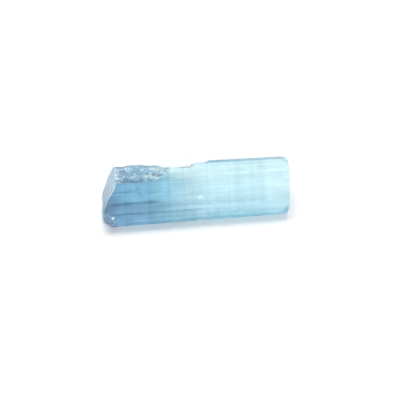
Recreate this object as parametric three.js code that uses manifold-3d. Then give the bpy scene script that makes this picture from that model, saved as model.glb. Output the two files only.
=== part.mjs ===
// An indicolite (blue tourmaline) crystal: a three-sided prism with blunted corners, striated along its
// length, lying on one prism face. Both ends are broken, and its top edge is chipped.
//
// Millimetres. +X runs along the crystal's long axis (its c axis) towards the pale end, +Z is up, and the
// wide front face looks towards -Y and up. The origin is on the resting face, under the middle of its box.

import * as THREE from "three";
import { mergeVertices } from "three/addons/utils/BufferGeometryUtils.js";
import { ImprovedNoise } from "three/addons/math/ImprovedNoise.js";
import Module from "manifold-3d";

const wasm = await Module();
wasm.setup();
const smoothNoise = new ImprovedNoise();
const { degToRad, smoothstep } = THREE.MathUtils;

// ---------------------------------------------------------------- driving dimensions, in millimetres

const LENGTH = 20; // tip to tip, along X
const TAPER = 0.0032; // share by which the section shrinks for each millimetre towards +X

// Corners of the prism's section at mid-length, as [y, z], seen from +X and anticlockwise from the
// resting face. The faces between them are the prism's own faces and the facets that blunt its corners.
const SECTION = [
  [-2.0, 0],
  [2.1, 0],
  [2.72, 0.42],
  [3.02, 1.25],
  [2.78, 2.2],
  [2.1, 3.55],
  [0.42, 6.4],
  [0.14, 6.54],
  [-0.16, 6.55],
  [-2.05, 3.27],
  [-2.55, 2.13],
  [-2.78, 1.05],
  [-2.44, 0.32],
];
const CREST = SECTION[6]; // where the back face meets the facet along the top edge
const TOP_EDGE = SECTION[8]; // where the front face meets it
const FRONT_SLOPE = 60; // degrees from level to the front face
const FOOT_HALF_WIDTH = 1.15; // the flat strip that the crystal rests on

const RIDGE_PITCH = 0.15; // mean width of a striation
const RIDGE_DEPTH = 0.042; // depth of the deepest striations
const RIDGE_FADE = 4.3; // length over which a striation fades and returns
const STATIONS = 9; // rings of points along the prism
const PRISM_OVERHANG = 0.8; // how far the uncut prism runs past each tip

const BREAK_CELL = 0.26; // spacing of the points on the two broken ends
const BREAK_LUMP = 1.15; // size of the lumps on them
const BREAK_RELIEF = 0.12; // how far the lumps stand out
const LEFT_SETBACK = 0.66; // from the left tip to the middle of the left break's step
const LEFT_STEP = 0.78; // half of that step's height
const LEFT_LEAN = 0.145; // how far the break leans outwards for each millimetre away from the front face
const RIGHT_SETBACK = 0.16; // from the right tip to the middle of the right break
const RIGHT_ROUNDING = 0.36; // how far the right break falls back towards its rim
const RIGHT_CORNER = 0.5; // slope of the cut at its top corner

// The broken shoulder is the upper left part of the front face. "Down" is measured from the top edge.
const SHOULDER_END = -2.6; // its right end
const SHOULDER_TURN = -6.3; // left of this its lower edge is level, and to the right it curves up
const SHOULDER_DOWN = 1.8; // how far down the front face it reaches at that turn
const SHOULDER_SLANT = 0.07; // rise of its lower edge for each millimetre to the left of the turn
const SHOULDER_LEDGE = 0.24; // depth of the ledge along its lower edge, at the left
const SHOULDER_RIDGES = 0.3; // height of the ridges in it, at the left
const SHOULDER_CELL = 0.16; // spacing of the points on it

const LEFT_TIP = -LENGTH / 2;
const RIGHT_TIP = LENGTH / 2;

// ---------------------------------------------------------------- helpers

/** A seeded random number generator, 0 to 1. */
function randomFrom(seed) {
  let state = seed >>> 0;
  return () => {
    state = (Math.imul(state, 1664525) + 1013904223) >>> 0;
    return state / 2 ** 32;
  };
}

/** A closed geometry as a manifold-3d solid. */
function solidOf(geometry) {
  const bare = new THREE.BufferGeometry();
  bare.setAttribute("position", geometry.getAttribute("position"));
  bare.setIndex(geometry.index);
  const merged = mergeVertices(bare, 1e-4);
  return new wasm.Manifold(
    new wasm.Mesh({
      numProp: 3,
      vertProperties: merged.getAttribute("position").array,
      triVerts: new Uint32Array(merged.index.array),
    }),
  );
}

/** A manifold-3d solid as a geometry that three.js can draw. */
function geometryOf(solid) {
  const mesh = solid.getMesh();
  const geometry = new THREE.BufferGeometry();
  geometry.setAttribute("position", new THREE.BufferAttribute(mesh.vertProperties, 3));
  geometry.setIndex(new THREE.BufferAttribute(mesh.triVerts, 1));
  return geometry;
}

/** How large the tapering section is at x, as a share of its size at mid-length. */
function taper(x) {
  return 1 - TAPER * x;
}

/** A point over the top edge, so that a ball of that radius around it cuts that deep into the edge. */
function overTop(x, radius, cut) {
  const out = (radius - cut) * Math.SQRT1_2;
  return [x, CREST[0] * taper(x) + out, CREST[1] * taper(x) + out];
}

/** A point by the front face: how far down from the top edge, and how far out from the face. */
function onFront(x, down, out) {
  const [cos, sin] = [Math.cos(degToRad(FRONT_SLOPE)), Math.sin(degToRad(FRONT_SLOPE))];
  const y = TOP_EDGE[0] * taper(x) - cos * down - sin * out;
  const z = TOP_EDGE[1] * taper(x) - sin * down + cos * out;
  return [x, y, z];
}

// ---------------------------------------------------------------- the striated prism

/** The section's outline with a point at each striation: where it is, which way is in, and how deep. */
function striatedOutline() {
  const random = randomFrom(7);
  const points = [];
  SECTION.forEach(([y0, z0], corner) => {
    const [y1, z1] = SECTION[(corner + 1) % SECTION.length];
    const length = Math.hypot(y1 - y0, z1 - z0);
    const inward = [-(z1 - z0) / length, (y1 - y0) / length];
    const strips = Math.max(2, Math.round(length / RIDGE_PITCH));
    for (let strip = 0; strip < strips; strip++) {
      const wander = strip === 0 ? 0 : (random() - 0.5) * 0.7;
      const share = (strip + wander) / strips;
      const y = y0 + (y1 - y0) * share;
      const z = z0 + (z1 - z0) * share;
      const onFoot = z === 0 && Math.abs(y) < FOOT_HALF_WIDTH;
      const groove = strip % 2 === 1 ? 0.35 + 0.65 * random() : 0.25 * random();
      const depth = strip === 0 || onFoot ? 0 : RIDGE_DEPTH * groove;
      points.push({ y, z, inward, depth });
    }
  });
  return points;
}

/** How strong a striation is at x, about 1 at most: it fades and returns along the length. */
function strength(x, striation) {
  const wave = smoothNoise.noise(x / RIDGE_FADE, striation * 0.61, 3.7);
  return Math.max(0.25, 0.65 + 0.8 * wave);
}

/** The prism before it broke: rings of the striated outline, tapered along X and closed at both ends. */
function prism() {
  const outline = striatedOutline();
  const start = LEFT_TIP - PRISM_OVERHANG;
  const span = LENGTH + 2 * PRISM_OVERHANG;
  const positions = [];
  for (let station = 0; station < STATIONS; station++) {
    const x = start + (span * station) / (STATIONS - 1);
    const scale = taper(x);
    outline.forEach(({ y, z, inward, depth }, striation) => {
      const dip = depth * strength(x, striation);
      positions.push(x, (y + inward[0] * dip) * scale, (z + inward[1] * dip) * scale);
    });
  }
  const count = outline.length;
  const triangles = [];
  for (let station = 0; station < STATIONS - 1; station++)
    for (let point = 0; point < count; point++) {
      const a = station * count + point;
      const b = station * count + ((point + 1) % count);
      triangles.push(a, b, a + count, b, b + count, a + count);
    }
  const flat = outline.map(({ y, z }) => new THREE.Vector2(y, z));
  const last = (STATIONS - 1) * count;
  for (const [a, b, c] of THREE.ShapeUtils.triangulateShape(flat, [])) {
    triangles.push(a, c, b);
    triangles.push(last + a, last + b, last + c);
  }
  const geometry = new THREE.BufferGeometry();
  geometry.setAttribute("position", new THREE.Float32BufferAttribute(positions, 3));
  geometry.setIndex(triangles);
  return solidOf(geometry);
}

// ---------------------------------------------------------------- broken ends

/** Everything past a broken end: a block whose inner side follows surface(y, z), the break's own X. */
function beyondBreak(side, surface) {
  const [depth, width, height] = [3, 8, 9]; // more than the prism's overhang and section
  const drop = 1; // how far the block reaches below the resting face
  const across = Math.round(width / BREAK_CELL);
  const up = Math.round(height / BREAK_CELL);
  const block = new THREE.BoxGeometry(depth, height, width, 1, up, across);
  const position = block.getAttribute("position");
  for (let i = 0; i < position.count; i++) {
    const inner = position.getX(i) * side < 0;
    const z = position.getY(i) + height / 2 - drop;
    const y = -position.getZ(i);
    position.setXYZ(i, inner ? surface(y, z) : side * (LENGTH / 2 + depth), y, z);
  }
  return solidOf(block);
}

/** The uneven lumps on a broken end. */
function lumps(y, z, seed) {
  return BREAK_RELIEF * smoothNoise.noise(y / BREAK_LUMP, z / BREAK_LUMP, seed);
}

/** The left break: an upper step set back from a lower one, leaning away from the front face. */
function leftBreak(y, z) {
  const rise = Math.SQRT1_2 * (y + z) - 1.5; // up the front face, from the middle of the step
  const inside = Math.SQRT1_2 * (y - z) + 4.4; // into the crystal, from the top edge
  const step = LEFT_STEP * Math.tanh((rise - 0.1) / 1.15);
  const lean = LEFT_LEAN * inside * smoothstep(rise, -1.4, 1.2);
  return LEFT_TIP + LEFT_SETBACK + step - lean + lumps(y, z, 1.3);
}

/** The right break: nearly square to the length, rounded off towards its rim. */
function rightBreak(y, z) {
  const outwards = (y / 3.1) ** 2 + ((z - 2.8) / 3.6) ** 2; // 0 at the middle, about 1 at the rim
  const rounding = RIGHT_ROUNDING * Math.min(outwards ** 2, 1.6);
  const corner = RIGHT_CORNER * Math.max(0, z - 5.6);
  return RIGHT_TIP - RIGHT_SETBACK - rounding - corner + lumps(y, z, 8.1);
}

// ---------------------------------------------------------------- the broken shoulder

/** How far down the front face the broken shoulder reaches at x. */
function shoulderReach(x) {
  const past = x - SHOULDER_TURN;
  const round = Math.max(0, past) / (SHOULDER_END - SHOULDER_TURN);
  const slant = SHOULDER_SLANT * Math.max(0, -past);
  const wander = 0.1 * round * smoothNoise.noise(x / 0.45, 0.3, 0.8);
  return SHOULDER_DOWN * Math.sqrt(Math.max(0, 1 - round ** 2)) - slant + wander;
}

/** 1 at the middle of an oval spot on the front face, falling to 0 around it. */
function spot(x, down, at, radii) {
  return Math.exp(-((((x - at[0]) / radii[0]) ** 2 + ((down - at[1]) / radii[1]) ** 2) ** 1.5));
}

/** How deep the broken shoulder goes into the front face, below zero outside it. */
function shoulderDepth(x, down) {
  const above = shoulderReach(x) - down;
  if (above < 0) return above;
  const ragged = 0.15 + 0.85 * smoothstep(-x, 3.6, 7.2); // 1 at the left, less towards the middle
  const ledge = SHOULDER_LEDGE * ragged * smoothstep(above, 0, 0.2);
  const coarse = Math.abs(smoothNoise.noise(x / 1.15 + down * 0.5, down / 0.7, 2.2));
  const fine = Math.abs(smoothNoise.noise(x / 0.5, down / 0.38 + x * 0.6, 6.4));
  const hollows = SHOULDER_RIDGES * ragged * (1.3 * coarse + 0.6 * fine) * smoothstep(above, 0, 0.35);
  const groove = 0.2 * spot(x, down, [-4.9, 0.95], [1.0, 0.22]);
  const knob = spot(x, down, [-6.4, 0.3], [0.85, 0.5]);
  const sag = 0.1 * Math.min(above, 1) ** 2;
  return (ledge + hollows + groove + sag) * (1 - 0.75 * knob);
}

/** What broke off the shoulder: a block on the front face whose inner side goes that deep. */
function offShoulder() {
  const [thick, over] = [1.2, 0.5]; // how far the block stands out, and how far past the top edge
  const left = LEFT_TIP - PRISM_OVERHANG;
  const length = SHOULDER_END + over - left;
  const height = SHOULDER_DOWN + 2 * over;
  const steps = [Math.round(length / SHOULDER_CELL), Math.round(height / SHOULDER_CELL)];
  const block = new THREE.BoxGeometry(length, height, thick, ...steps, 1);
  const position = block.getAttribute("position");
  for (let i = 0; i < position.count; i++) {
    const x = position.getX(i) + left + length / 2;
    const down = height / 2 - over - position.getY(i);
    const out = position.getZ(i) < 0 ? -shoulderDepth(x, down) : thick;
    position.setXYZ(i, ...onFront(x, down, out));
  }
  return solidOf(block);
}

// ---------------------------------------------------------------- chips

/** A rough ball that cuts a conchoidal scoop, kept to x below "until", where the chip ends in a wall. */
function scoop({ at, radii, tilt = 0, rough = 0.03, detail = 7, until = Infinity, seed }) {
  const ball = new THREE.IcosahedronGeometry(1, detail);
  const position = ball.getAttribute("position");
  for (let i = 0; i < position.count; i++) {
    const [x, y, z] = [position.getX(i), position.getY(i), position.getZ(i)];
    const swell = 1 + rough * smoothNoise.noise(x * 3.1 + seed, y * 3.1, z * 3.1);
    position.setXYZ(i, x * swell * radii[0], y * swell * radii[1], z * swell * radii[2]);
  }
  ball.rotateX(degToRad(tilt));
  ball.translate(...at);
  const flattened = 0.02; // what is left of the ball's bulge past the wall
  for (let i = 0; i < position.count; i++)
    if (position.getX(i) > until)
      position.setX(i, until + (position.getX(i) - until) * flattened);
  return solidOf(ball);
}

const CHIPS = [
  // the long chip in the top edge and the shallower one to its right, which end in walls
  { at: [-1.6, 3.12, 8.08], radii: [6.3, 3.88, 3.88], detail: 15, until: -0.43, seed: 1 },
  { at: [-0.2, 2.45, 8.0], radii: [3.4, 3.0, 3.0], detail: 13, until: 1.3, seed: 2 },
  // the top edge left of the long chip, broken low on both sides of a knob
  { at: overTop(-6.5, 0.9, 0.16), radii: [3.4, 1.6, 0.9], tilt: -45, rough: 0.05, detail: 9, seed: 20 },
  { at: overTop(-4.9, 0.9, 0.37), radii: [1.2, 1.4, 0.9], tilt: -45, rough: 0.1, seed: 21 },
  { at: overTop(-7.95, 0.7, 0.36), radii: [0.95, 1.4, 0.7], tilt: -45, rough: 0.12, seed: 22 },
  // the back of the left end, behind the knob
  { at: [-8.6, 1.1, 7.6], radii: [2.6, 1.6, 1.6], rough: 0.1, detail: 10, seed: 5 },
  // the corner below the left end
  { at: [-12.0, -3.56, -0.22], radii: [3.0, 3.0, 3.0], rough: 0.04, detail: 15, seed: 6 },
  // nicks in the rims of both ends
  { at: [-9.8, -2.9, 1.15], radii: [0.35, 0.45, 0.3], rough: 0.2, detail: 4, seed: 9 },
  { at: [10.0, -2.75, 1.0], radii: [0.4, 0.45, 0.6], rough: 0.15, detail: 4, seed: 10 },
  { at: [10.05, 1.9, 4.3], radii: [0.5, 0.6, 0.9], rough: 0.15, detail: 4, seed: 11 },
  { at: [10.0, 2.6, 0.7], radii: [0.45, 0.6, 0.5], rough: 0.15, detail: 4, seed: 12 },
  // small chips in the back: one in its lower edge and one in its face
  { at: [4.2, 3.25, 1.1], radii: [1.3, 0.4, 0.55], rough: 0.12, detail: 5, seed: 13 },
  { at: [-6.1, 2.35, 4.25], radii: [1.7, 0.7, 1.0], tilt: 30, rough: 0.12, detail: 6, seed: 14 },
];

// ---------------------------------------------------------------- the crystal

/** The whole crystal as one mesh, moved so that its box stands on z = 0 with its middle over the origin. */
function crystal() {
  let solid = prism();
  for (const gone of [beyondBreak(-1, leftBreak), beyondBreak(1, rightBreak), offShoulder()])
    solid = solid.subtract(gone);
  for (const chip of CHIPS) solid = solid.subtract(scoop(chip));
  const geometry = geometryOf(solid);
  geometry.computeBoundingBox();
  const middle = geometry.boundingBox.getCenter(new THREE.Vector3());
  geometry.translate(-middle.x, -middle.y, -geometry.boundingBox.min.z);
  const material = new THREE.MeshStandardMaterial({
    color: 0x9fd0e4,
    roughness: 0.15,
    metalness: 0,
    transparent: true,
    opacity: 0.8,
    flatShading: true,
  });
  const mesh = new THREE.Mesh(geometry, material);
  mesh.name = "crystal";
  return mesh;
}

const tourmaline = new THREE.Group();
tourmaline.add(crystal());

export default tourmaline;
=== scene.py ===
"""An indicolite tourmaline crystal on a pale floor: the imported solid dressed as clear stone.

The crystal lies along X with its pale end towards +X. Its wide front face looks towards -Y and up.
Lengths are in millimetres up to the point where a mesh is made, and MM turns them into metres.
"""

import math
from types import SimpleNamespace

import bpy
import numpy as np
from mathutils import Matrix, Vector


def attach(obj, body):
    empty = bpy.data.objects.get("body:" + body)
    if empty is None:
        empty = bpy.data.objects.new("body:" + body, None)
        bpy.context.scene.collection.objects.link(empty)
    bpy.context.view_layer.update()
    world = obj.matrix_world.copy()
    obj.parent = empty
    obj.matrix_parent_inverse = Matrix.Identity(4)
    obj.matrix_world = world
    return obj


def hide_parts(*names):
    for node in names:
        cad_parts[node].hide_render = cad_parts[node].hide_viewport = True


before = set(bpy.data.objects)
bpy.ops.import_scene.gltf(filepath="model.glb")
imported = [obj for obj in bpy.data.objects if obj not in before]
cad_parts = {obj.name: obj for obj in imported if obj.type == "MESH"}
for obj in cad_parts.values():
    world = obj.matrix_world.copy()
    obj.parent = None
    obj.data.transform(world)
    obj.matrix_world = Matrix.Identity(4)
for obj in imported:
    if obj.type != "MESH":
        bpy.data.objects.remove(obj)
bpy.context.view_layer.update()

MM = 1e-3

# ---------------------------------------------------------------- the shape, in millimetres

TAPER = 0.0032  # share by which the section shrinks for each millimetre towards +X
SHIFT = (0.0870, -0.1239)  # where the section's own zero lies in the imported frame, in X and Y

# Corners of the prism's section at mid-length, as (y, z): anticlockwise from the foot, from +X.
SECTION = [
    (-2.0, 0.0),
    (2.1, 0.0),
    (2.72, 0.42),
    (3.02, 1.25),
    (2.78, 2.2),
    (2.1, 3.55),
    (0.42, 6.4),
    (0.14, 6.54),
    (-0.16, 6.55),
    (-2.05, 3.27),
    (-2.55, 2.13),
    (-2.78, 1.05),
    (-2.44, 0.32),
]
FOOT_HALF_WIDTH = 1.15

# A CAD face belongs to the prism where it lies this near the section's outline, and its normal has
# no more than this of X. The others are broken.
ON_PRISM = 0.06
END_FACING = 0.3

# The longest edges of the fine mesh across the crystal, and how much longer one may be along it.
EDGE = {"prism": (0.096, 7.0), "ends": (0.096, 1.5), "shoulder": (0.078, 1.5), "foot": (0.3, 7.0)}
ENDS = (-8.7, 9.3)  # the ends reach in to these X
SHOULDER = (-2.4, 4.5)  # the shoulder lies left of this X and above this height
FOOT_RIM = 0.02  # the foot's edges have their middles below this height

# The chipped foot of the left end. At the floor it lies left of CORNER_X, and further left as it
# climbs. It ends softly, over CORNER_BLEND and between the two heights of CORNER_TOP.
CORNER_X = -8.1
CORNER_LEAN = 0.5
CORNER_BLEND = 0.3
CORNER_TOP = (1.8, 2.6)

# The crack at which the shoulder's back ends is moved off its straight line.
BACK_STEP_X = -0.33
BACK_STEP_REACH = (0.2, 1.1)  # it moves in full this near its X, and not at all this far away
BACK_STEP_BEHIND = (0.1, 0.6)  # it begins to move at the first Y, and moves in full at the second
BACK_STEP_PIVOT = 5.6  # the height about which it leans
BACK_STEP_LEAN = 0.25
BACK_STEP_WANDER = 0.22
BACK_STEP_LUMPS = (1.6, 0.5, 0.4)
BACK_STEP_SEED = 70

# The striations' ribs: length, width, seed, steepness and height.
STRIATIONS = [
    (5, 0.11, 1, 1.6, 0.007),
    (8, 0.27, 2, 2.6, 0.014),
    (10, 0.62, 3, 3.5, 0.012),
    (4, 1.4, 5, 1.0, 0.008),
]
STRIATION_DEPTH = 0.028  # from the CAD's face to the middle of the ribs

# Deep lengthwise grooves in the front: height, first X, last X, depth and width.
GROOVES = [
    (6.38, 1.2, 9.3, 0.020, 0.05),
    (5.05, -3.0, 9.0, 0.014, 0.05),
    (4.32, -8.9, -6.4, 0.035, 0.07),
    (3.86, -1.0, 9.5, 0.014, 0.05),
    (3.18, -9.4, -3.6, 0.060, 0.17),
    (2.72, -6.0, 8.5, 0.018, 0.06),
    (2.10, -9.3, 2.0, 0.045, 0.09),
    (1.52, -8.0, 9.0, 0.022, 0.07),
    (1.02, -7.0, 9.4, 0.024, 0.08),
]
GROOVE_ENDS = (0.4, 0.8, 1.2)  # how far a groove reaches past its ends, fades in and fades out
GROOVE_WANDER = 0.06
GROOVE_BEND = 3.0  # the length over which it wanders
GROOVE_SEED = 8

# The broken faces' warped, dished facets: size, seed, and how far their edges stand out on smooth
# and on ragged breaks.
SCALLOPS = [
    ((0.9, 0.7, 0.7), 30, 0.05, 0.0),
    ((0.4, 0.28, 0.28), 40, 0.02, 0.035),
    ((2.2, 0.42, 0.42), 60, 0.0, 0.10),
]
WARP_SIZE, WARP_SEED, WARP_REACH = 0.4, 20, 0.12
SLIVER_SIZE, SLIVER_SEED, SLIVER_STEEPNESS, SLIVER_HEIGHT = (1.1, 0.22, 0.22), 50, 3.0, 0.03
GRAIN_SIZE, GRAIN_SEED, GRAIN_HEIGHT = 0.1, 4, 0.006
SUNK_SMOOTH, SUNK_RAGGED = 0.035, 0.075  # how far the two kinds are sunk, which keeps the bulk

# A break is ragged up to the first share of X in its normal, and smooth from the second.
RAGGED_FACING = (0.45, 0.8)
BREAK_ROUNDS, FACING_ROUNDS, PIT_ROUNDS = 6, 8, 30  # rounds of smoothing
FULL_DEPTH = 0.06  # a pit or groove this deep counts as 1 in the mesh's values
SHARP_EDGE = math.radians(32)

# The noise: large primes for the three axes and the seed, and what mixes the bits.
AXIS_PRIMES = (73856093, 19349663, 83492791)
SEED_PRIME = 2654435761
FIRST_MIX, SECOND_MIX = 1274126177, 668265263
ALL_BITS = 0x7FFFFFFF

# ---------------------------------------------------------------- the fine mesh


def welded(mesh):
    """The CAD mesh as points in millimetres and triangles, with its doubled vertices joined."""
    points = np.array([v.co[:] for v in mesh.vertices]) / MM
    mesh.calc_loop_triangles()
    faces = np.array([t.vertices[:] for t in mesh.loop_triangles])
    points, index = np.unique(np.round(points, 4), axis=0, return_inverse=True)
    faces = index.reshape(-1)[faces]
    flat = (faces == np.roll(faces, 1, axis=1)).any(axis=1)
    return points, faces[~flat]


def too_long(start, end):
    """Each edge's length as a share of what is allowed where it lies."""
    middle = (start + end) / 2
    across = np.full(len(middle), EDGE["prism"][0])
    stretch = np.full(len(middle), EDGE["prism"][1])
    regions = {
        "ends": (middle[:, 0] < ENDS[0]) | (middle[:, 0] > ENDS[1]),
        "shoulder": (middle[:, 0] < SHOULDER[0]) & (middle[:, 2] > SHOULDER[1]),
        "foot": middle[:, 2] < FOOT_RIM,
    }
    for name, inside in regions.items():
        across[inside], stretch[inside] = EDGE[name]
    span = end - start
    span[:, 0] /= stretch
    return np.linalg.norm(span, axis=1) / across


def refined(points, faces, broken):
    """Halves each edge that is too long where it lies, until none is."""
    while True:
        pairs = np.sort(faces[:, [0, 1, 1, 2, 2, 0]].reshape(-1, 2), axis=1)
        edges, index = np.unique(pairs, axis=0, return_inverse=True)
        index = index.reshape(-1, 3)
        length = too_long(points[edges[:, 0]], points[edges[:, 1]])
        long = length > 1
        # an edge is halved only where it is the longest of a triangle, which keeps them well shaped
        longest = np.zeros(len(edges), bool)
        longest[index[np.arange(len(faces)), np.argmax(length[index], axis=1)]] = True
        split = long & longest
        if not split.any():
            return points, faces, broken
        middle = np.full(len(edges), -1)
        middle[split] = len(points) + np.arange(split.sum())
        points = np.vstack([points, points[edges[split]].mean(axis=1)])
        halves = middle[index]
        count = (halves >= 0).sum(axis=1)
        made, marks = [faces[count == 0]], [broken[count == 0]]
        for turn in range(3):
            a, b, c = (np.roll(faces, -turn, axis=1)[:, k] for k in range(3))
            ab, bc, ca = (np.roll(halves, -turn, axis=1)[:, k] for k in range(3))
            one = (count == 1) & (ab >= 0)
            two = (count == 2) & (ca < 0)
            made += [np.stack(t, axis=1)[one] for t in ((a, ab, c), (ab, b, c))]
            made += [np.stack(t, axis=1)[two] for t in ((ab, b, bc), (a, ab, bc), (a, bc, c))]
            marks += [broken[one]] * 2 + [broken[two]] * 3
            if turn == 0:
                all_three = count == 3
                parts = ((a, ab, ca), (ab, b, bc), (ca, bc, c), (ab, bc, ca))
                made += [np.stack(t, axis=1)[all_three] for t in parts]
                marks += [broken[all_three]] * 4
        faces, broken = np.vstack(made), np.concatenate(marks)


def on_outline(points):
    """For each point: its distance from the section's outline, the nearest place on it, the way in
    from there, and how far round the outline that is."""
    scale = 1 - TAPER * (points[:, 0] - SHIFT[0])
    flat = np.stack([points[:, 1] - SHIFT[1], points[:, 2]], axis=1) / scale[:, None]
    best = np.full(len(points), np.inf)
    near = np.zeros((len(points), 2))
    inward = np.zeros((len(points), 2))
    along = np.zeros(len(points))
    walked = 0.0
    corners = np.array(SECTION)
    for corner, following in zip(corners, np.roll(corners, -1, axis=0)):
        side = following - corner
        length = np.linalg.norm(side)
        side = side / length
        at = np.clip((flat - corner) @ side, 0, length)
        place = corner + at[:, None] * side
        distance = np.linalg.norm(flat - place, axis=1)
        closer = distance < best
        best[closer] = distance[closer]
        near[closer] = place[closer]
        inward[closer] = (-side[1], side[0])
        along[closer] = walked + at[closer]
        walked += length
    return best, near * scale[:, None] + (SHIFT[1], 0), inward, along


def lattice(cells, seed):
    """A random number, 0 to 1, for each whole-numbered cell: the same one each time."""
    cells = cells.astype(np.int64)
    mixed = seed * SEED_PRIME
    for axis, prime in enumerate(AXIS_PRIMES):
        mixed = mixed ^ cells[..., axis] * prime
    mixed = (mixed ^ (mixed >> 13)) * FIRST_MIX & ALL_BITS
    mixed = (mixed ^ (mixed >> 15)) * SECOND_MIX & ALL_BITS
    return (mixed ^ (mixed >> 14)) / ALL_BITS


def noise_at(places, seed, steep=1.0):
    """Noise, -1 to 1, with lumps about 1 across. If steep, it has terraces and short slopes."""
    cell = np.floor(places)
    share = np.clip((places - cell - 0.5) * steep + 0.5, 0, 1)
    share = share * share * (3 - 2 * share)
    total = np.zeros(len(places))
    for corner in np.ndindex(2, 2, 2):
        weight = np.prod(np.where(corner, share, 1 - share), axis=1)
        total += weight * lattice(cell + corner, seed)
    return 2 * total - 1


def scallops(places, seed):
    """Dished facets with sharp ridges between: 0 at a dish's middle, and about 1 on the ridges."""
    cell = np.floor(places)
    nearest = np.full(len(places), np.inf)
    for step in np.ndindex(3, 3, 3):
        other = cell + step - 1
        point = other + np.stack([lattice(other, seed + k) for k in range(3)], axis=1)
        nearest = np.minimum(nearest, ((places - point) ** 2).sum(axis=1))
    return nearest


def rising(low, high, value):
    """0 up to low, 1 from high, and a soft slope between them."""
    share = np.clip((value - low) / (high - low), 0, 1)
    return share * share * (3 - 2 * share)


def falling(low, high, value):
    """1 up to low, 0 from high, and a soft slope between them."""
    return rising(-high, -low, -value)


def unit(vectors):
    return vectors / np.maximum(np.linalg.norm(vectors, axis=1, keepdims=True), 1e-12)


def face_normals(points, faces):
    """Each face's normal, as long as twice its area."""
    corner = points[faces]
    return np.cross(corner[:, 1] - corner[:, 0], corner[:, 2] - corner[:, 0])


def vertex_normals(points, faces):
    normal = face_normals(points, faces)
    corners = faces.reshape(-1)
    total = [np.bincount(corners, normal[:, k].repeat(3), len(points)) for k in range(3)]
    return unit(np.stack(total, axis=1))


def smoothed(points, faces, rounds, free=None):
    """Evens out the free points, or all of them, each towards the mean of its neighbours."""
    pairs = np.sort(faces[:, [0, 1, 1, 2, 2, 0]].reshape(-1, 2), axis=1)
    pairs = np.unique(pairs, axis=0)
    near = pairs.reshape(-1)
    far = pairs[:, ::-1].reshape(-1)
    degree = np.bincount(near, minlength=len(points))
    for _ in range(rounds):
        total = [np.bincount(near, points[far, k], len(points)) for k in range(3)]
        moved = (points + np.stack(total, axis=1) / degree[:, None]) / 2
        points = moved if free is None else np.where(free[:, None], moved, points)
    return points


def striation_depths(x, along, height, front):
    """How deep the prism's faces are cut at each point, and how much of that is a deep groove."""
    flat = np.zeros(len(x))
    depth = np.full(len(x), STRIATION_DEPTH)
    for length, width, seed, steep, rise in STRIATIONS:
        places = np.stack([x / length, along / width, flat], axis=1)
        depth += rise * noise_at(places, seed, steep)
    groove = np.zeros(len(x))
    past, fade_in, fade_out = GROOVE_ENDS
    for at, first, last, deep, width in GROOVES:
        bend = np.stack([x / GROOVE_BEND, flat + at, flat], axis=1)
        away = height - at + GROOVE_WANDER * noise_at(bend, GROOVE_SEED)
        ends = rising(first - past, first + fade_in, x) * falling(last - fade_out, last + past, x)
        groove = np.maximum(groove, front * ends * np.exp(-((away / width) ** 2)) * deep)
    return np.maximum(depth, 0) + groove, groove


def broken_push(points, share, ragged):
    """How far the broken faces stand out of the CAD's: dishes, splintered steps and grain."""
    bend = [noise_at(points / WARP_SIZE, WARP_SEED + k) for k in range(3)]
    warp = points + WARP_REACH * np.stack(bend, axis=1)
    slivers = noise_at(warp / SLIVER_SIZE, SLIVER_SEED, SLIVER_STEEPNESS)
    on_smooth = np.full(len(points), -SUNK_SMOOTH)
    on_ragged = SLIVER_HEIGHT * slivers - SUNK_RAGGED
    for size, seed, smooth_height, ragged_height in SCALLOPS:
        facets = scallops(warp / size, seed)
        on_smooth += smooth_height * facets
        on_ragged += ragged_height * facets
    grain = GRAIN_HEIGHT * noise_at(points / GRAIN_SIZE, GRAIN_SEED)
    return share * (on_smooth + ragged * (on_ragged - on_smooth) + grain)


def corner_share(points):
    """How much each point belongs to the chipped foot of the left end."""
    past = CORNER_X - CORNER_LEAN * points[:, 2] - points[:, 0]
    inside = rising(0, CORNER_BLEND, past) * falling(*CORNER_TOP, points[:, 2])
    return inside * (points[:, 1] < 0)


def back_step_shift(points):
    """How far along X the crack at the shoulder's back is moved off its straight line."""
    beside = falling(*BACK_STEP_REACH, np.abs(points[:, 0] - BACK_STEP_X))
    beside *= rising(*BACK_STEP_BEHIND, points[:, 1])
    lean = BACK_STEP_LEAN * np.clip(BACK_STEP_PIVOT - points[:, 2], -1, 1)
    return beside * (lean + BACK_STEP_WANDER * noise_at(points / BACK_STEP_LUMPS, BACK_STEP_SEED))


def add_values(mesh, name, values):
    attribute = mesh.attributes.new(name, "FLOAT", "POINT")
    attribute.data.foreach_set("value", values.astype(np.float32))


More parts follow.
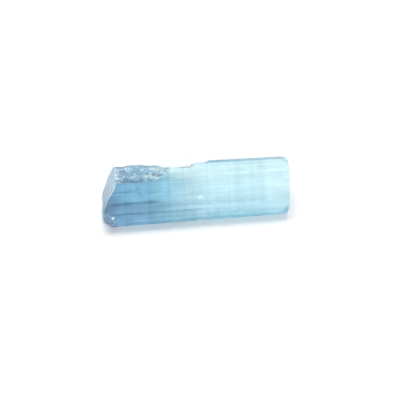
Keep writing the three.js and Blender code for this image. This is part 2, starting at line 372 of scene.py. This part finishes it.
def fine_crystal(cad):
    """The visible mesh: the CAD solid with fine striations, and rippled, pitted broken faces."""
    points, faces = welded(cad.data)
    centres = points[faces].mean(axis=1)
    facing = np.abs(unit(face_normals(points, faces))[:, 0])
    broken = (on_outline(centres)[0] > ON_PRISM) | (facing > END_FACING)
    points, faces, broken = refined(points, faces, broken)

    # each point's share of broken faces; the broken ones are evened out
    touching = np.bincount(faces.reshape(-1), minlength=len(points))
    share = np.bincount(faces.reshape(-1), broken.repeat(3), len(points)) / touching
    corner = corner_share(points)
    share = np.maximum(share, corner)
    points = smoothed(points, faces, BREAK_ROUNDS, share > 0.99)

    # the prism's faces, into which the striations are cut afresh, but not into the foot
    _, near, inward, along = on_outline(points)
    scale = 1 - TAPER * (points[:, 0] - SHIFT[0])
    front = (near[:, 0] < SHIFT[1]).astype(float)
    depth, groove = striation_depths(points[:, 0], along, near[:, 1] / scale, front)
    foot = (np.abs(near[:, 0] - SHIFT[1]) < FOOT_HALF_WIDTH) & (near[:, 1] < 1e-3)
    depth = np.where(foot, 0, depth)
    on_prism = share < 0.99
    points[on_prism, 1:] = (near + inward * depth[:, None])[on_prism]

    # the broken faces, most ragged on the shoulder
    points[:, 0] += back_step_shift(points)
    normals = vertex_normals(points, faces)
    ragged = falling(*RAGGED_FACING, np.abs(smoothed(normals, faces, FACING_ROUNDS)[:, 0]))
    ragged = np.maximum(ragged, corner)
    points = points + normals * broken_push(points, share, ragged)[:, None]
    points[:, 2] = np.maximum(points[:, 2], 0)

    # pits are above 0 and ridges below
    even = smoothed(points, faces, PIT_ROUNDS)
    pits = ((even - points) * vertex_normals(even, faces)).sum(axis=1)

    mesh = bpy.data.meshes.new("tourmaline")
    mesh.from_pydata((points * MM).tolist(), [], faces.tolist())
    mesh.update()
    mesh.shade_smooth()
    mesh.set_sharp_from_angle(angle=SHARP_EDGE)
    add_values(mesh, "broken", share)
    add_values(mesh, "ragged", ragged * share)
    add_values(mesh, "pit", np.clip(pits / FULL_DEPTH, -1, 1))
    add_values(mesh, "groove", np.where(on_prism, groove / FULL_DEPTH, 0))
    return show("tourmaline", mesh)


# ---------------------------------------------------------------- the material's values

# Colours by X, for the growth zones from the chipped end to the pale one.
ZONES = [
    (-9.4, (0.165, 0.41, 0.60, 1)),
    (-5.6, (0.21, 0.50, 0.68, 1)),
    (-3.2, (0.28, 0.58, 0.71, 1)),
    (-0.8, (0.52, 0.76, 0.82, 1)),
    (2.4, (0.64, 0.88, 0.93, 1)),
    (6.0, (0.69, 0.93, 0.97, 1)),
    (9.0, (0.78, 0.98, 1.0, 1)),
]
ZONE_SPAN = 20.0

# Painted shade by height, as a share of the span set after them, at the left and at the right: the
# lower faces, which turn away from the light, are painted darker.
PAINTED_SHADE_LEFT = [
    (0.10, (0.80, 0.84, 0.88, 1)),
    (0.20, (0.80, 0.82, 0.86, 1)),
    (0.28, (0.64, 0.62, 0.66, 1)),
    (0.36, (0.66, 0.65, 0.67, 1)),
    (0.44, (0.68, 0.67, 0.69, 1)),
    (0.50, (0.86, 0.87, 0.89, 1)),
    (0.58, (0.97, 0.97, 0.98, 1)),
    (0.70, (1, 1, 1, 1)),
]
PAINTED_SHADE_RIGHT = [
    (0.05, (0.33, 0.55, 0.66, 1)),
    (0.15, (0.34, 0.56, 0.65, 1)),
    (0.23, (0.47, 0.61, 0.67, 1)),
    (0.34, (0.58, 0.67, 0.72, 1)),
    (0.44, (0.69, 0.76, 0.81, 1)),
    (0.50, (0.88, 0.90, 0.92, 1)),
    (0.58, (0.93, 0.94, 0.95, 1)),
]
PAINTED_SHADE_SPAN = 1 / 0.15

TINT = SimpleNamespace(
    # painted light on the top of the crystal
    lit_top=(0.77, 1, 1, 1),
    crest=(0.46, 0.84, 1, 1),
    lavender=(0.68, 0.80, 0.95, 1),
    cloud=(0.80, 1, 1, 1),
    # dark marks, and painted shade on the low right corner
    mark=(0.10, 0.30, 0.42, 1),
    margin=(0.10, 0.22, 0.36, 1),
    # painted reflection of the white surroundings on the broken faces
    grey_reflection=(0.56, 0.69, 0.78, 1),
    pale_reflection=(0.78, 0.83, 0.90, 1),
    right_reflection=(0.78, 0.95, 1, 1),
    shoulder=(0.30, 0.56, 0.72, 1),
    pale_shoulder=(0.48, 0.75, 0.86, 1),
    # painted shade in the broken faces' hollows
    hollow_shade=(0.12, 0.24, 0.36, 1),
    slate=(0.13, 0.25, 0.42, 1),
    # painted highlights on the ridges and edges
    ridge_highlight=(0.97, 0.98, 1.0, 1),
    edge_highlight=(0.90, 0.96, 0.98, 1),
    knob=(0.21, 0.38, 0.53, 1),
    # painted glints
    glint=(0.95, 0.99, 1.0, 1),
    # painted shade on the splinters' small faces
    splinter_shade=(0.12, 0.28, 0.40, 1),
)

# Where cracks cross the crystal: X, half width and darkness.
CROSS_CRACKS = [
    (-4.95, 0.14, 0.07),
    (-3.85, 0.12, 0.08),
    (-3.0, 0.20, 0.11),
    (-2.2, 0.12, 0.06),
    (-1.35, 0.14, 0.09),
    (-0.55, 0.13, 0.17),
    (0.35, 0.12, 0.06),
    (1.2, 0.32, 0.08),
    (2.3, 0.12, 0.05),
    (3.35, 0.14, 0.06),
    (4.3, 0.28, 0.06),
    (5.5, 0.12, 0.05),
    (6.85, 0.16, 0.10),
    (8.2, 0.12, 0.05),
]

# Spots in the front: X, height, radius along X, radius upwards, and strength. First, dark marks,
# the last of which is painted shade where the low right corner turns under.
DARK_MARKS_AND_SHADE = [
    (-6.25, 4.55, 0.30, 0.16, 0.40),
    (-6.0, 4.1, 0.22, 0.30, 0.45),
    (-5.75, 3.8, 0.28, 0.18, 0.40),
    (-6.5, 4.0, 0.14, 0.14, 0.30),
    (2.6, 3.95, 0.12, 0.10, 0.30),
    (3.7, 5.6, 0.20, 0.10, 0.25),
    (7.15, 4.0, 0.16, 0.14, 0.20),
    (-7.2, 6.15, 0.2, 0.28, 0.55),
    (-7.75, 6.0, 0.30, 0.14, 0.45),
    (-5.3, 6.1, 0.7, 0.09, 0.40),
    (-4.9, 5.75, 0.8, 0.09, 0.35),
    # painted shade where the low right corner turns under
    (9.5, 1.25, 0.6, 0.5, 0.45),
]

# Smooth, slate-blue knobs.
KNOBS = [
    (-6.4, 5.95, 1.2, 0.40, 0.9),
    (-4.9, 5.95, 0.7, 0.10, 0.45),
]

# Painted glints: white spots standing for sparkles of light.
PAINTED_GLINTS = [
    (0.3, 3.35, 0.30, 0.20, 0.7),
    (-8.4, 6.0, 0.6, 0.45, 0.35),
    (-5.2, 5.5, 0.7, 0.10, 0.75),
    (-4.4, 6.15, 0.7, 0.10, 0.75),
    (-4.2, 5.45, 0.40, 0.14, 0.5),
    (-9.0, 1.82, 0.16, 0.18, 1.0),
]

# Splintered places, painted full of small glinting and shaded faces.
SPLINTERS = [
    (-8.0, 5.45, 0.65, 0.75, 1.0),
    (-7.6, 6.2, 0.55, 0.6, 0.9),
    (-4.6, 5.8, 1.0, 0.6, 0.5),
    (-8.95, 1.7, 0.45, 0.35, 0.6),
]

STONE = {
    "roughness": 0.28,
    "ior": 1.63,
    "transmission": 0.58,
    "absorption": (0.35, 0.78, 0.92, 1),
    "density": 22.0,
}

# ---------------------------------------------------------------- the material


class Graph:
    """A short way to write a node tree."""

    def __init__(self, name):
        self.material = bpy.data.materials.new(name)
        self.material.use_nodes = True
        self.tree = self.material.node_tree
        self.shader = self.tree.nodes["Principled BSDF"]
        self.output = self.tree.nodes["Material Output"]

    def node(self, kind, inputs=None, **settings):
        made = self.tree.nodes.new("ShaderNode" + kind)
        for key, value in settings.items():
            setattr(made, key, value)
        for key, value in (inputs or {}).items():
            self.put(made.inputs[key], value)
        return made

    def put(self, socket, value):
        if isinstance(value, bpy.types.NodeSocket):
            self.tree.links.new(value, socket)
        else:
            socket.default_value = value

    def math(self, operation, *values):
        return self.node("Math", dict(enumerate(values)), operation=operation).outputs[0]

    def times(self, first, *others):
        for other in others:
            first = self.math("MULTIPLY", first, other)
        return first

    def linear(self, value, factor, offset):
        return self.math("MULTIPLY_ADD", value, factor, offset)

    def vector(self, operation, *values):
        made = self.node("VectorMath", dict(enumerate(values)), operation=operation)
        return made.outputs["Value" if operation == "LENGTH" else "Vector"]

    def slope(self, value, low, high, at_low=0.0, at_high=1.0):
        """A soft slope from at_low, where the value is low, to at_high, where it is high."""
        inputs = {"Value": value, "From Min": low, "From Max": high}
        inputs.update({"To Min": at_low, "To Max": at_high})
        return self.node("MapRange", inputs, interpolation_type="SMOOTHSTEP").outputs["Result"]

    def mix(self, factor, a, b, blend="MIX"):
        made = self.node("Mix", data_type="RGBA", blend_type=blend)
        self.put(made.inputs[0], factor)
        self.put(made.inputs[6], a)
        self.put(made.inputs[7], b)
        return made.outputs[2]

    def colour(self, red, green, blue):
        return self.node("CombineColor", {0: red, 1: green, 2: blue}).outputs[0]

    def attribute(self, name):
        return self.node("Attribute", attribute_name=name).outputs["Fac"]

    def noise(self, vector, scale, detail=2.0, roughness=0.5):
        inputs = {"Vector": vector, "Scale": scale, "Detail": detail, "Roughness": roughness}
        return self.node("TexNoise", inputs).outputs["Fac"]

    def cells(self, vector, scale):
        """A random number, the same all over each cell of a Voronoi pattern."""
        made = self.node("TexVoronoi", {"Vector": vector, "Scale": scale})
        return self.node("SeparateXYZ", {0: made.outputs["Color"]}).outputs["X"]

    def stretched(self, vector, scale):
        return self.node("Mapping", {"Vector": vector, "Scale": scale}).outputs[0]

    def warped(self, vector, scale, reach):
        """The place, moved by up to about half the reach each way."""
        warp = self.node("TexNoise", {"Vector": vector, "Scale": scale}).outputs["Color"]
        warp = self.vector("SUBTRACT", warp, (0.5, 0.5, 0.5))
        return self.vector("ADD", vector, self.vector("MULTIPLY", warp, (reach,) * 3))

    def ramp(self, factor, stops):
        made = self.node("ValToRGB", {"Fac": factor})
        elements = made.color_ramp.elements
        while len(elements) < len(stops):
            elements.new(0.5)
        for element, (position, colour) in zip(elements, stops):
            element.position = position
            element.color = colour
        return made.outputs["Color"]


def stone_values(g):
    """What the material's parts share: the place in millimetres, and the mesh's own values."""
    mm = g.vector("MULTIPLY", g.node("TexCoord").outputs["Object"], (1 / MM,) * 3)
    axes = g.node("SeparateXYZ", {0: mm}).outputs
    broken = g.attribute("broken")
    return SimpleNamespace(
        mm=mm,
        x=axes["X"],
        y=axes["Y"],
        height=axes["Z"],
        front=g.slope(axes["Y"], -0.1, 0.3, 1.0, 0.0),
        uneven=g.warped(mm, 3.5, 0.5),
        broken=broken,
        whole=g.math("SUBTRACT", 1.0, broken),
        ragged=g.attribute("ragged"),
        pit=g.attribute("pit"),
        groove=g.attribute("groove"),
    )


def spots(g, at, places, around):
    """How strongly these places in the front are marked."""
    total = 0.0
    for x, height, across, upwards, strength in places:
        away = g.vector("SUBTRACT", around, (x, 0, height))
        away = g.vector("LENGTH", g.vector("MULTIPLY", away, (1 / across, 0, 1 / upwards)))
        total = g.math("MAXIMUM", total, g.slope(away, 0.2, 1.3, strength, 0.0))
    return g.times(total, at.front)


def growth_colour_and_painted_light(g, at):
    """Deeper blue at the chipped end and paler to the right, with painted shade on the lower faces,
    a painted light top, and blue on the crest.
    """
    wobble = g.linear(g.noise(at.mm, 0.5, 2), 1.2, -0.6)
    share = g.linear(g.math("ADD", at.x, wobble), 1 / ZONE_SPAN, 0.5)
    zones = g.ramp(share, [(x / ZONE_SPAN + 0.5, colour) for x, colour in ZONES])
    # painted shade by height: darker on the lower faces, which turn from the light
    level = g.times(at.height, 1 / PAINTED_SHADE_SPAN)
    left, right = g.ramp(level, PAINTED_SHADE_LEFT), g.ramp(level, PAINTED_SHADE_RIGHT)
    colour = g.mix(1.0, zones, g.mix(g.slope(at.x, -6.0, 0.5), left, right), "MULTIPLY")

    # the top is painted pale, as light from above falls on it, and starts higher towards the left;
    # the crest sinks with the taper
    climb = g.linear(g.math("MINIMUM", at.x, 0.0), 0.20, at.height)
    colour = g.mix(g.slope(climb, 4.5, 5.8, 0.0, 0.95), colour, TINT.lit_top)
    crest = g.linear(at.x, 0.021, at.height)
    return g.mix(g.slope(crest, 6.42, 6.50, 0.0, 0.9), colour, TINT.crest)


def clouded(g, at, colour):
    """Faint clouds, lavender and white, towards the pale end."""
    clouds = g.noise(g.stretched(at.mm, (0.8, 1, 1)), 0.9, 4, 0.6)
    pale_end = g.slope(at.x, -3.0, 0.5)
    lavender = g.times(g.slope(clouds, 0.48, 0.68, 0.0, 0.32), pale_end)
    white = g.times(g.slope(clouds, 0.28, 0.42, 0.25, 0.0), pale_end)
    return g.mix(white, g.mix(lavender, colour, TINT.lavender), TINT.cloud)


def cracks_across(g, at):
    """How dark the cracks are that cross the crystal, and the X by which they tilt and bend."""
    tilt = g.linear(g.noise(at.mm, 0.35, 1), 0.4, -0.2)
    crossing = g.math("ADD", at.x, tilt)
    cracks = 0.0
    for x, half_width, darkness in CROSS_CRACKS:
        away = g.math("ABSOLUTE", g.math("SUBTRACT", crossing, x))
        cracks = g.math("MAXIMUM", cracks, g.slope(away, 0.0, half_width, darkness, 0.0))
    patchy = g.slope(g.noise(at.mm, 0.55, 2), 0.35, 0.6, 0.15, 0.75)
    return g.times(cracks, patchy), crossing


def shade_colour(g, at, cracks, crossing):
    """What darkens the stone: bands across it, streaks along it, cracks and marks, painted shade in
    its grooves, and painted shade on its low right corner.
    """
    bands = g.noise(g.stretched(at.mm, (1, 0.03, 0.03)), 2.4, 5, 0.65)
    streaks = g.noise(g.stretched(at.mm, (0.02, 1, 1)), 3.2, 4, 0.6)
    sheets = g.noise(g.stretched(at.mm, (1, 0.08, 0.08)), 1.1, 2, 0.5)
    blotches = g.noise(g.stretched(at.mm, (0.25, 1, 1)), 1.5, 3, 0.6)
    streaks = g.slope(streaks, 0.3, 0.7, -0.07, 0.03)
    fine = g.math("ADD", g.slope(bands, 0.3, 0.7, 0.93, 1.0), streaks)
    sheets = g.slope(sheets, 0.35, 0.65, -0.05, 0.03)
    broad = g.math("ADD", sheets, g.slope(blotches, 0.35, 0.65, -0.06, 0.04))
    shade = g.linear(broad, g.slope(at.x, -5.0, 0.0, 1.8, 0.8), fine)
    darker = [
        # painted shade in the grooves, stronger at the left
        g.times(at.groove, g.slope(at.x, -2.0, 2.0, 0.42, 0.12)),
        cracks,
        g.times(g.slope(at.x, -7.0, -4.0, 0.0, 0.06), g.slope(crossing, -3.95, -3.8, 1.0, 0.0)),
    ]
    for amount in darker:
        shade = g.math("SUBTRACT", shade, amount)

    # it takes more of the stone's red than of its blue
    tinted = g.colour(g.linear(shade, 1.3, -0.3), shade, g.linear(shade, 0.9, 0.1))
    # dark marks, and painted shade on the low right corner
    return g.mix(spots(g, at, DARK_MARKS_AND_SHADE, at.uneven), tinted, TINT.mark)


def margin_colour(g, at, colour):
    """A dark margin where the prism's faces meet the left break, darkest low down."""
    rim = g.linear(at.height, -0.24, g.math("ADD", at.x, 10.15))
    margin = g.times(g.slope(rim, 0.4, 1.7, 0.8, 0.0), at.whole)
    margin = g.times(margin, g.slope(at.height, 3.2, 4.6, 1.0, 0.55))
    return g.mix(margin, colour, TINT.margin)


def broken_colour(g, at, colour):
    """The broken faces: painted grey, lavender and white reflection, shards, slate hollows with
    painted shade, and painted highlights on the ridges.
    """
    # painted reflection of the white surroundings: grey, lavender and white patches on the broken
    # faces
    patches = g.noise(at.mm, 1.6, 3, 0.6)
    painted_reflection = g.ramp(patches, [(0.35, TINT.grey_reflection), (0.6, TINT.pale_reflection)])
    painted_reflection = g.mix(g.slope(at.x, 4.0, 8.0), painted_reflection, TINT.right_reflection)
    colour = g.mix(g.times(at.broken, 0.6), colour, painted_reflection)

    # the shoulder, whose shards differ in tone
    shoulder = g.mix(g.slope(at.x, -6.0, -4.3), TINT.shoulder, TINT.pale_shoulder)
    colour = g.mix(g.times(at.ragged, 0.75), colour, shoulder)
    tone = g.slope(g.cells(g.stretched(at.uneven, (0.6, 1, 1)), 2.6), 0.1, 0.9, 0.80, 1.08)
    toned = g.mix(1.0, colour, g.colour(tone, tone, tone), "MULTIPLY")
    colour = g.mix(at.ragged, colour, toned)

    # painted shade in the hollows, and the slate foot of the left end
    shaded_hollows = g.times(g.slope(at.pit, 0.05, 0.8), at.broken, 0.6)
    colour = g.mix(shaded_hollows, colour, TINT.hollow_shade)
    leaning = g.linear(at.height, CORNER_LEAN, at.x)
    corner = g.slope(leaning, CORNER_X - CORNER_BLEND, CORNER_X, 1.0, 0.0)
    corner = g.times(corner, at.broken, g.slope(at.height, 2.0, 3.2, 0.92, 0.0))
    backwards = g.linear(g.noise(at.mm, 1.2, 3), 1.6, at.y)
    corner = g.times(corner, g.slope(backwards, -0.6, 1.2, 1.0, 0.15))
    colour = g.mix(corner, colour, TINT.slate)

    # painted highlights: patchy white on the ridges and on the edges beside them; both are fainter
    # low down
    higher = g.slope(at.height, 2.6, 3.8, 0.15, 1.0)
    ridges = g.times(g.slope(at.pit, -0.75, -0.3, 1.0, 0.0), at.broken)
    ridges = g.times(ridges, g.slope(g.noise(at.mm, 1.9, 2), 0.42, 0.58))
    calm = g.times(at.ragged, g.slope(at.x, -7.3, -6.6))
    ridges = g.times(ridges, g.linear(calm, -0.75, 1.0), higher, 0.75)
    colour = g.mix(ridges, colour, TINT.ridge_highlight)
    edge_highlight = g.times(g.slope(at.pit, -0.9, -0.35, 0.5, 0.0), at.whole, higher)
    return g.mix(edge_highlight, colour, TINT.edge_highlight)


def splintered_colour(g, at, colour):
    """Knobs, painted glints, and splintered places painted full of small glinting and shaded faces.
    """
    colour = g.mix(spots(g, at, KNOBS, at.uneven), colour, TINT.knob)
    # painted glints, white spots standing for sparkles of light
    glints = spots(g, at, PAINTED_GLINTS, g.warped(at.mm, 7.0, 0.25))
    colour = g.mix(glints, colour, TINT.glint)
    faces = g.cells(g.stretched(at.mm, (0.8, 1, 1)), 5.5)
    inside = g.slope(spots(g, at, SPLINTERS, at.mm), 0.15, 0.7)
    inside = g.times(inside, g.slope(at.broken, 0.0, 0.4))
    # painted glints and painted shade on the splinters' small faces
    bright = g.times(inside, g.slope(faces, 0.72, 0.86, 0.0, 0.95))
    dark = g.times(inside, g.slope(faces, 0.12, 0.22, 0.55, 0.0))
    return g.mix(dark, g.mix(bright, colour, TINT.glint), TINT.splinter_shade)


def fine_relief(g, at):
    """Hairlines along the prism's faces with ticks across them, and grain on the broken faces."""
    hairs = g.noise(g.stretched(at.mm, (0.05, 1, 1)), 16.0, 3, 0.6)
    ticks = g.noise(g.stretched(at.mm, (1, 0.2, 0.2)), 7.0, 3, 0.6)
    lines = g.times(g.linear(ticks, 0.35, hairs), at.whole)
    grain = g.times(g.noise(at.mm, 22.0, 3, 0.6), at.broken)
    relief = g.math("ADD", lines, grain)
    bump = g.node("Bump", {"Height": relief, "Strength": 0.5, "Distance": 0.008 * MM})
    return bump.outputs[0]


def tourmaline_material():
    g = Graph("clear_tourmaline")
    at = stone_values(g)
    cracks, crossing = cracks_across(g, at)
    colour = clouded(g, at, growth_colour_and_painted_light(g, at))
    colour = broken_colour(g, at, margin_colour(g, at, colour))
    colour = g.mix(1.0, colour, shade_colour(g, at, cracks, crossing), "MULTIPLY")
    rough = g.linear(g.noise(at.mm, 1.3, 4, 0.6), 0.12, STONE["roughness"])

    sockets = g.shader.inputs
    g.put(sockets["Base Color"], splintered_colour(g, at, colour))
    g.put(sockets["Roughness"], g.math("ADD", rough, g.times(cracks, 0.6)))
    g.put(sockets["Normal"], fine_relief(g, at))
    sockets["IOR"].default_value = STONE["ior"]
    sockets["Transmission Weight"].default_value = STONE["transmission"]
    inside = {"Color": STONE["absorption"], "Density": STONE["density"]}
    absorption = g.node("VolumeAbsorption", inputs=inside)
    g.put(g.output.inputs["Volume"], absorption.outputs[0])
    return g.material


# ---------------------------------------------------------------- the stage, in metres

PIXEL = 0.106 * MM  # on the object, in the 400 px wide frame
FRAME_PX = 400
AZIMUTH, ELEVATION = math.radians(-5.8), math.radians(45)
DISTANCE = 0.30
MIDDLE = Vector((0, 0, 2.16 * MM))
LEFT_OF_MIDDLE, ABOVE_MIDDLE = 4.55, 8.6  # where MIDDLE lies in the frame, in pixels
SENSOR = 36  # millimetres

FLOOR_HALF = 1.0
FLOOR_GAP = 0.03 * MM  # in one plane, the foot and the floor would shade each other wrongly
PAPER = (0.93, 0.93, 0.93, 1)
PAPER_ROUGHNESS = 0.8

# Oval lamps that shine at the crystal: place, width and height, and power in watts.
LAMPS = {
    "key": ((-0.02, 0.19, 0.515), (0.60, 0.36), 2.5),
    "fill_left": ((-0.35, -0.35, 0.055), (0.50, 0.10), 2.85),
    "fill_right": ((0.35, -0.35, 0.055), (0.50, 0.10), 2.75),
}
SKY_STRENGTH = 0.38


def show(name, data):
    thing = bpy.data.objects.new(name, data)
    bpy.context.scene.collection.objects.link(thing)
    return thing


def add_camera():
    back = Vector((
        math.sin(AZIMUTH) * math.cos(ELEVATION),
        -math.cos(AZIMUTH) * math.cos(ELEVATION),
        math.sin(ELEVATION),
    ))
    right = Vector((math.cos(AZIMUTH), math.sin(AZIMUTH), 0))
    up = back.cross(right)
    aim = MIDDLE + (right * LEFT_OF_MIDDLE - up * ABOVE_MIDDLE) * PIXEL
    camera = show("camera", bpy.data.cameras.new("camera"))
    camera.location = aim + back * DISTANCE
    camera.rotation_euler = back.to_track_quat("Z", "Y").to_euler()
    camera.data.sensor_width = SENSOR
    camera.data.lens = SENSOR * DISTANCE / (FRAME_PX * PIXEL)
    camera.data.clip_start = 0.01
    camera.data.clip_end = 10
    bpy.context.scene.camera = camera


def add_floor():
    mesh = bpy.data.meshes.new("floor")
    corners = [(-1, -1), (1, -1), (1, 1), (-1, 1)]
    mesh.from_pydata([(x * FLOOR_HALF, y * FLOOR_HALF, 0) for x, y in corners], [], [(0, 1, 2, 3)])
    floor = show("floor", mesh)
    floor.location.z = -FLOOR_GAP
    g = Graph("paper")
    g.shader.inputs["Base Color"].default_value = PAPER
    g.shader.inputs["Roughness"].default_value = PAPER_ROUGHNESS
    g.shader.inputs["Specular IOR Level"].default_value = 0
    mesh.materials.append(g.material)


def add_light(name, place, size, power):
    lamp = bpy.data.lights.new(name, "AREA")
    lamp.shape = "ELLIPSE"
    lamp.size, lamp.size_y = size
    lamp.energy = power
    light = show(name, lamp)
    light.location = place
    light.rotation_euler = Vector(place).to_track_quat("Z", "Y").to_euler()


def add_sky():
    world = bpy.data.worlds.new("studio")
    world.use_nodes = True
    background = world.node_tree.nodes["Background"]
    background.inputs["Color"].default_value = (1, 1, 1, 1)
    background.inputs["Strength"].default_value = SKY_STRENGTH
    bpy.context.scene.world = world


# ---------------------------------------------------------------- the scene

crystal = fine_crystal(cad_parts["crystal"])
crystal.data.materials.append(tourmaline_material())
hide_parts("crystal")
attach(crystal, "root")

add_camera()
add_floor()
for name, (place, size, power) in LAMPS.items():
    add_light(name, place, size, power)
add_sky()
bpy.context.scene.view_settings.view_transform = "Standard"
